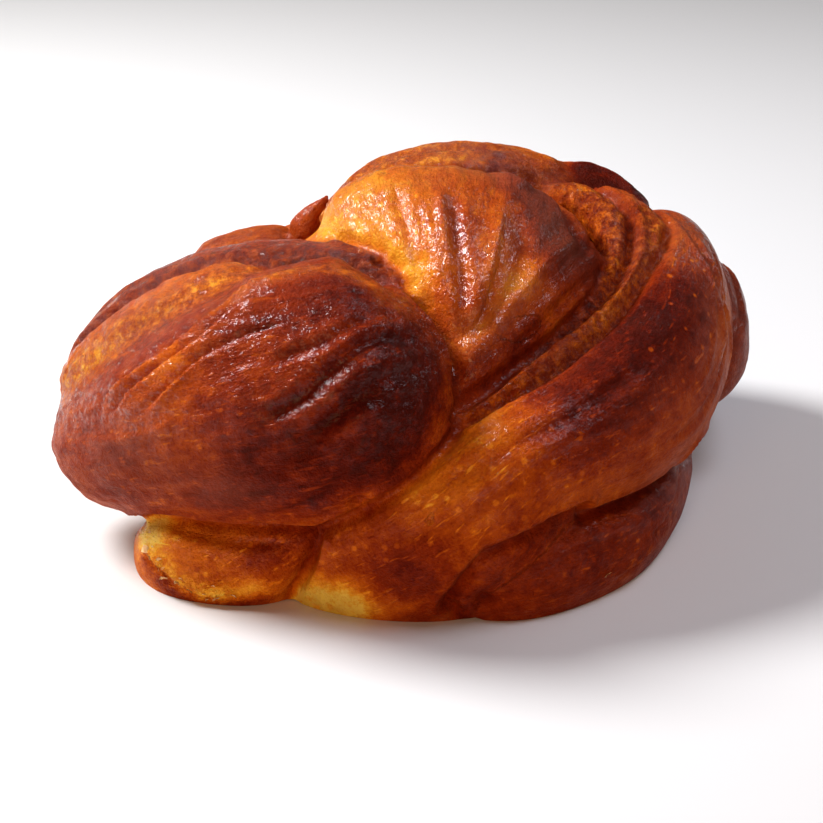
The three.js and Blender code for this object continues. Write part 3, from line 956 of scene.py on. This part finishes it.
skin.normal_update()
smooth_normals = np.array([v.normal for v in skin.verts])
skin.verts.index_update()
row_layer = skin.verts.layers.int.new("row")
for vertex in skin.verts:
    vertex[row_layer] = vertex.index
crusts = []
for name, rolls in PIECES.items():
    part = skin.copy()
    layer = part.verts.layers.int["row"]
    mine = np.isin(number, [NAMES.index(roll) for roll in rolls]).tolist()
    others = [face for face in part.faces if not mine[face.verts[0][layer]]]
    bmesh.ops.delete(part, geom=others, context="FACES")
    rows = np.array([v[layer] for v in part.verts])
    part.verts.layers.int.remove(layer)
    made = piece(name, part)
    for key, values in look.items():
        keep(made.data, key, "FLOAT", "value", values[rows])
    keep(made.data, "grain", "FLOAT_VECTOR", "vector", offset[rows])
    made.data.normals_split_custom_set_from_vertices(smooth_normals[rows].tolist())
    crusts.append(made)
    print(name, "has", sum(len(p.vertices) - 2 for p in made.data.polygons), "triangles")

# %% [markdown]
# ## Loose flakes
# Where the dough tore, thin flakes of crust curl off it. Each one is a small strip, bent across a roll's
# skin and lifted at one side. `solidify` gives it a thickness, so that it is a closed mesh like the rest.

# %% Peel the flakes
FLAKES = [
    # roll, length, width and lift in mm, how many, places that they are scattered along
    ("tail", 2.2, 1.5, 0.9, 9, [(0.24, -40), (0.27, -22), (0.33, -8), (0.42, 4), (0.52, 14)]),
    ("tail", 1.2, 0.9, 0.6, 9, [(0.25, -50), (0.3, -24), (0.36, -10), (0.46, 4)]),
    ("tier", 3.6, 2.4, 1.2, 1, [(0.333, -17), (0.334, -17)]),
]
FLAKE_CUTS = 5
FLAKE_THICKNESS = 0.35
rng = np.random.default_rng(4)


def add_flake(bm, here, out, ahead, size, turn):
    """Adds one curled strip to bm, in mm: its middle here, turned about out, its far side lifted."""
    long, wide, lift = size
    side = np.cross(out, ahead)
    length_way = ahead * math.cos(turn) + side * math.sin(turn)
    width_way = side * math.cos(turn) - ahead * math.sin(turn)
    strip = []
    for u in np.linspace(-0.5, 0.5, FLAKE_CUTS + 1):
        middle = here + length_way * long * u
        half_width = wide * (0.5 - 1.2 * u * u) * rng.uniform(0.6, 1.2)
        strip.append([])
        for v in (-1, 0, 1):
            rise = lift * ((0.5 + 0.5 * v) ** 2 + u * u - 0.2)
            strip[-1].append(bm.verts.new(middle + width_way * half_width * v + out * rise))
    faces = []
    for a, b in zip(strip, strip[1:]):
        faces += [bm.faces.new((a[k], a[k + 1], b[k + 1], b[k])) for k in (0, 1)]
    bmesh.ops.solidify(bm, geom=faces, thickness=FLAKE_THICKNESS)


flakes = bmesh.new()
skin_normals = unit(spread(np.array([v.normal for v in skin.verts]), 2))
for name, long, wide, lift, count, places in FLAKES:
    mine = np.flatnonzero(number == NAMES.index(name))
    for share, angle in smooth(places, (np.arange(count) + rng.uniform(0.2, 0.8, count)) / count):
        on_line, further = on_skin(ROLLS[name], [(share, angle + rng.normal(0, 3)), (share + 0.01, angle)])
        root = mine[np.argmin(((points[mine] - on_line) ** 2).sum(1))]
        size = rng.uniform(0.5, 1.2) * np.array([long, wide, lift])
        out = skin_normals[root]
        ahead = unit((further - on_line) - out * ((further - on_line) @ out))
        add_flake(flakes, points[root], out, ahead, size, rng.normal(0, 0.5))
bmesh.ops.recalc_face_normals(flakes, faces=flakes.faces)
skin.free()
place(flakes, framed(coordinates(flakes)))
loose = piece("loose_flakes", flakes)
print("peeled", sum(flake[4] for flake in FLAKES), "flakes of", len(loose.data.polygons), "faces in all")

# %% [markdown]
# ## Helpers for the materials
# Colours are chosen as hex values, as a paint program shows them, and one function turns them into the
# linear numbers that Cycles reckons with. Another adds any node with its settings and its links.

# %% Colour and node helpers
def linear(code):
    """Linear RGBA of an sRGB hex colour."""
    parts = [int(code[k:k + 2], 16) / 255 for k in (1, 3, 5)]
    return [p / 12.92 if p <= 0.04045 else ((p + 0.055) / 1.055) ** 2.4 for p in parts] + [1.0]


def node(tree, kind, settings=(), links=()):
    """Adds a node. Settings name an attribute or an input, and links name an input and give its source."""
    made = tree.nodes.new(kind)
    for name, value in dict(settings).items():
        if isinstance(name, str) and hasattr(made, name):
            setattr(made, name, value)
        else:
            made.inputs[name].default_value = value
    for name, source in dict(links).items():
        tree.links.new(source, made.inputs[name])
    return made


def colour_ramp(ramp, colours):
    """Gives a colour ramp node these stops, each a place from 0 to 1 and a hex colour."""
    stops = ramp.color_ramp.elements
    while len(stops) < len(colours):
        stops.new(0.5)
    for stop, (where, code) in zip(stops, colours):
        stop.position, stop.color = where, linear(code)


print("mid grey is", round(linear("#808080")[0], 2), "in linear numbers")

# %% [markdown]
# ## Egg-glazed crust
# The crust is baked dough, a little translucent at its golden edges, under a thin film of egg wash that
# dried to a varnish. So the material is rough below and glossy above: a coat over a rougher base, with some
# light scattered beneath. Its colour runs from butter yellow through amber to the dark red-brown of a
# strong bake. Patterns are sized in millimetres: grains of 0.8 mm in the skin, mottling of 4 mm, streaks 12
# mm long and 2 mm wide along each roll, pale dashes 3.6 mm long where gas stretched the dough, and pale
# blisters 2 mm across where steam lifted the skin. The glaze has its own ripples, 1.3 mm apart, which break
# its shine into glints.

# %% The crust's material
METRE = 1000.0
BAKED_COLOURS = [
    (0.0, "#ffd052"), (0.18, "#f4a428"), (0.36, "#d97010"), (0.54, "#b14806"), (0.72, "#862602"),
    (0.88, "#5e0e00"), (1.0, "#400400"),
]
# Mixed in by the plum attribute: a real plum-brown of the crust, and painted sheen where the strokes put it.
PLUM_AND_SHEEN_BROWN = "#86402c"
crust = bpy.data.materials.new("egg_glazed_baked_crust")
crust.use_nodes = True
tree = crust.node_tree
tree.nodes.clear()


def kept(name, output="Fac"):
    return node(tree, "ShaderNodeAttribute", {"attribute_name": name}).outputs[output]


def reckon(how, first, second, third=0.0):
    """One sum: each term is a number or a socket."""
    made = node(tree, "ShaderNodeMath", {"operation": how})
    for entry, term in enumerate((first, second, third)):
        if isinstance(term, (int, float)):
            made.inputs[entry].default_value = term
        else:
            tree.links.new(term, made.inputs[entry])
    return made.outputs[0]


def between(value, low, high, start=0.0, end=1.0):
    """start where value is low, end where it is high, smooth between."""
    ends = {"From Min": low, "From Max": high, "To Min": start, "To Max": end}
    return node(tree, "ShaderNodeMapRange", {"interpolation_type": "SMOOTHSTEP", **ends},
                {"Value": value}).outputs[0]


def stretched(long, wide):
    """Coordinates along the rolls where one unit is long mm lengthways and wide mm across."""
    return node(tree, "ShaderNodeMapping", {"Scale": (1 / long, 1 / wide, 1 / wide)},
                {"Vector": kept("grain", "Vector")}).outputs[0]


def noise_at(source, scale, detail, rough):
    return node(tree, "ShaderNodeTexNoise", {"Scale": scale, "Detail": detail, "Roughness": rough},
                {"Vector": source}).outputs["Fac"]


def pattern(size, detail=3.0, rough=0.55):
    """Noise with bumps of about this size in mm, centred on 0.5."""
    return noise_at(spot, METRE / size, detail, rough)


def dots(size, radius, kept_share):
    """1 in the middle of this share of the cells, falling to 0 at radius. Size in mm, radius in cells."""
    cells = node(tree, "ShaderNodeTexVoronoi", {"Scale": METRE / size, "Randomness": 1.0}, {"Vector": spot})
    chance = node(tree, "ShaderNodeSeparateColor", {}, {0: cells.outputs["Color"]}).outputs[0]
    near = between(cells.outputs["Distance"], radius, radius * 0.4)
    return reckon("MULTIPLY", near, between(chance, 1 - kept_share, 1 - 0.5 * kept_share))


# The bake attribute also carries painted shade and painted light, and the plum attribute painted sheen.
baked_and_shaded, plum_and_sheen_amount, calm, shines, open_layers, freckled = (
    kept(name) for name in ("bake_and_shading", "plum_and_sheen", "calm", "shine", "layers", "freckles")
)
spot = node(tree, "ShaderNodeTexCoord").outputs["Object"]
streaks = noise_at(stretched(12, 2.2), 1.0, 3.0, 0.6)
crinkles = noise_at(stretched(5, 1.4), 1.0, 3.0, 0.6)
bubbles = noise_at(stretched(3.6, 1.1), 1.0, 1.0, 0.5)
mottles = pattern(4.0, 4.0, 0.6)
grains = pattern(0.8, 3.0, 0.65)
crumbs = between(pattern(2.6, 5.0, 0.75), 0.36, 0.64)
dashes = reckon("MULTIPLY", between(bubbles, 0.6, 0.74), calm)
blisters = reckon("MULTIPLY", dots(3.8, 0.3, 0.6), reckon("MULTIPLY", freckled, calm))
opened = reckon("MULTIPLY", reckon("SUBTRACT", crumbs, 0.5), open_layers)
print("patterns made with", len(tree.nodes), "nodes")

# %% [markdown]
# ## From patterns to a glazed surface
# Each pattern moves the tone a little up or down the ramp of baked colours, around its own middle value.
# The same patterns raise the surface in bumps, from the widest to the finest, and the glaze lies over the
# crumb's bumps but not over the finest grains, as a liquid film would.

# %% Colour, bumps and glaze
tone = baked_and_shaded
for signal, middle, weight in (
    (streaks, 0.5, reckon("MULTIPLY", calm, 0.26)),
    (mottles, 0.5, between(baked_and_shaded, 0.0, 0.6, 0.2, 0.42)),
    (grains, 0.5, 0.3),
    (dashes, 0, between(freckled, 0.0, 0.4, -0.05, -0.22)),
    (blisters, 0, -0.5),
    (opened, 0, -0.4),
):
    tone = reckon("MULTIPLY_ADD", reckon("SUBTRACT", signal, middle), weight, tone)
colour = node(tree, "ShaderNodeValToRGB", {}, {"Fac": tone})
colour_ramp(colour, BAKED_COLOURS)
plum_and_sheen_mixed = node(tree, "ShaderNodeMix", {"data_type": "RGBA", "blend_type": "MIX", 7: linear(PLUM_AND_SHEEN_BROWN)},
              {0: reckon("MULTIPLY", plum_and_sheen_amount, 0.5), 6: colour.outputs["Color"]})
raised_spots = reckon("ADD", reckon("ADD", blisters, reckon("MULTIPLY", dashes, 0.4)), mottles)
bumps = {}
for name, strength, distance, height, under in (
    # distances in metres: the height of each pattern's bumps
    ("crinkle", 0.8, 0.0008, reckon("MULTIPLY", crinkles, calm), None),
    ("blister", 0.5, 0.0006, raised_spots, "crinkle"),
    ("crumb", 0.8, 0.0009, opened, "blister"),
    ("grain", 1.0, 0.0008, grains, "crumb"),
    ("glaze", 0.7, 0.0005, pattern(1.3, 2.0, 0.5), "crumb"),
):
    below = {"Normal": bumps[under]} if under else {}
    bumps[name] = node(tree, "ShaderNodeBump", {"Strength": strength, "Distance": distance},
                       {"Height": height, **below}).outputs[0]
glaze = reckon("MULTIPLY", shines, between(pattern(1.8, 3.0, 0.6), 0.4, 0.62, 0.3, 1.4))
shader = node(
    tree, "ShaderNodeBsdfPrincipled",
    {"Coat Roughness": 0.11, "Coat IOR": 1.45, "Subsurface Weight": 0.1, "Subsurface Scale": 0.003,
     "Subsurface Radius": (1.0, 0.35, 0.12), "Specular IOR Level": 0.1, "Specular Tint": linear("#ffb27a")},
    {"Base Color": plum_and_sheen_mixed.outputs[2], "Roughness": between(mottles, 0.3, 0.7, 0.4, 0.6),
     "Coat Weight": glaze, "Normal": bumps["grain"], "Coat Normal": bumps["glaze"]},
)
node(tree, "ShaderNodeOutputMaterial", {}, {"Surface": shader.outputs[0]})
print("the crust's material has", len(tree.nodes), "nodes")

# %% [markdown]
# ## Dry shreds of dough
# The loose flakes have no glaze and browned only a little, so they are matt and nearly the colour of the
# crumb. They are browner in patches of 1.5 mm, and fibres of 0.4 mm roughen them.

# %% The shreds' material
shred = bpy.data.materials.new("dry_dough_shreds")
shred.use_nodes = True
dry = shred.node_tree
dry.nodes.clear()
dry_spot = node(dry, "ShaderNodeTexCoord").outputs["Object"]
patches = node(dry, "ShaderNodeTexNoise", {"Scale": METRE / 1.5, "Detail": 3.0}, {"Vector": dry_spot})
fibres = node(dry, "ShaderNodeTexNoise", {"Scale": METRE / 0.4, "Detail": 2.0}, {"Vector": dry_spot})
browned = node(dry, "ShaderNodeValToRGB", {}, {"Fac": patches.outputs["Fac"]})
colour_ramp(browned, [(0.4, "#fde2ae"), (0.62, "#eab874")])
fibre_bump = node(dry, "ShaderNodeBump", {"Strength": 0.6, "Distance": 0.0002},
                  {"Height": fibres.outputs["Fac"]})
matt = node(dry, "ShaderNodeBsdfPrincipled", {"Roughness": 0.6, "Specular IOR Level": 0.4},
            {"Base Color": browned.outputs["Color"], "Normal": fibre_bump.outputs[0]})
node(dry, "ShaderNodeOutputMaterial", {}, {"Surface": matt.outputs[0]})
print("the shreds' material has", len(dry.nodes), "nodes")

# %% [markdown]
# ## Each piece on the root body
# The loaf has no moving part, so every piece rides on the root body, and together they replace the CAD
# loaf.

# %% Dress the loaf
for made in crusts + [loose]:
    made.data.materials.append(shred if made is loose else crust)
    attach(made, "root")
    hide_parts("loaf")
print("finished", [made.name for made in crusts + [loose]])

# %% [markdown]
# ## Floor, light and camera
# A pale floor and soft lamps show the gloss without hard edges. The main light stands high at the left and
# a little behind, as a window would, so the glaze shines along the left of each roll and the creases stay
# dark, deepened by the painted shade in them. A skylight adds glints on the front of the crown, and a large
# warm reflector far in front opens the shadows under the lobe.

# %% Stage
FLOOR_HALF = 3.0
TILT_DOWN = 25.6


def lamp(name, where, target, size, watts, code):
    """A round lamp of a size in metres, turned to its target."""
    light = bpy.data.lights.new(name, "AREA")
    light.shape, light.size, light.energy = "DISK", size, watts
    light.color = linear(code)[:3]
    made = bpy.data.objects.new(name, light)
    made.location = where
    made.rotation_euler = (Vector(target) - Vector(where)).to_track_quat("-Z", "Y").to_euler()
    bpy.context.scene.collection.objects.link(made)


ground = bmesh.new()
bmesh.ops.create_grid(ground, x_segments=1, y_segments=1, size=FLOOR_HALF)
floor = piece("floor", ground)
board = bpy.data.materials.new("matt_white_board")
board.use_nodes = True
board_shader = board.node_tree.nodes["Principled BSDF"]
board_shader.inputs["Base Color"].default_value = linear("#e2e2e2")
board_shader.inputs["Roughness"].default_value = 0.8
floor.data.materials.append(board)

lamp("window_left", (-0.56, 0.18, 0.66), (0, 0, 0.04), 0.32, 12.0, "#fdfdfd")
lamp("skylight", (0.30, -0.08, 0.74), (0, 0, 0.05), 0.34, 2.2, "#eef0ff")
lamp("window_right", (0.70, 0.45, 0.60), (0, 0, 0.05), 0.25, 0.9, "#f4f7ff")
lamp("front_reflector", (-0.66, -2.88, 1.0), (0, 0, 0.04), 2.1, 33.0, "#ffc68c")
world = bpy.data.worlds.new("soft_studio")
world.use_nodes = True
sky = world.node_tree.nodes["Background"]
sky.inputs["Color"].default_value = linear("#f4f6f8")
sky.inputs["Strength"].default_value = 0.07
bpy.context.scene.world = world
bpy.context.scene.view_settings.view_transform = "Standard"

camera = bpy.data.objects.new("camera", bpy.data.cameras.new("camera"))
bpy.context.scene.collection.objects.link(camera)
camera.data.lens, camera.data.sensor_width = 75.4, 36
camera.location = (-0.0016, -0.4513, 0.2384)
camera.rotation_euler = (math.radians(90 - TILT_DOWN), 0, 0)
bpy.context.scene.camera = camera
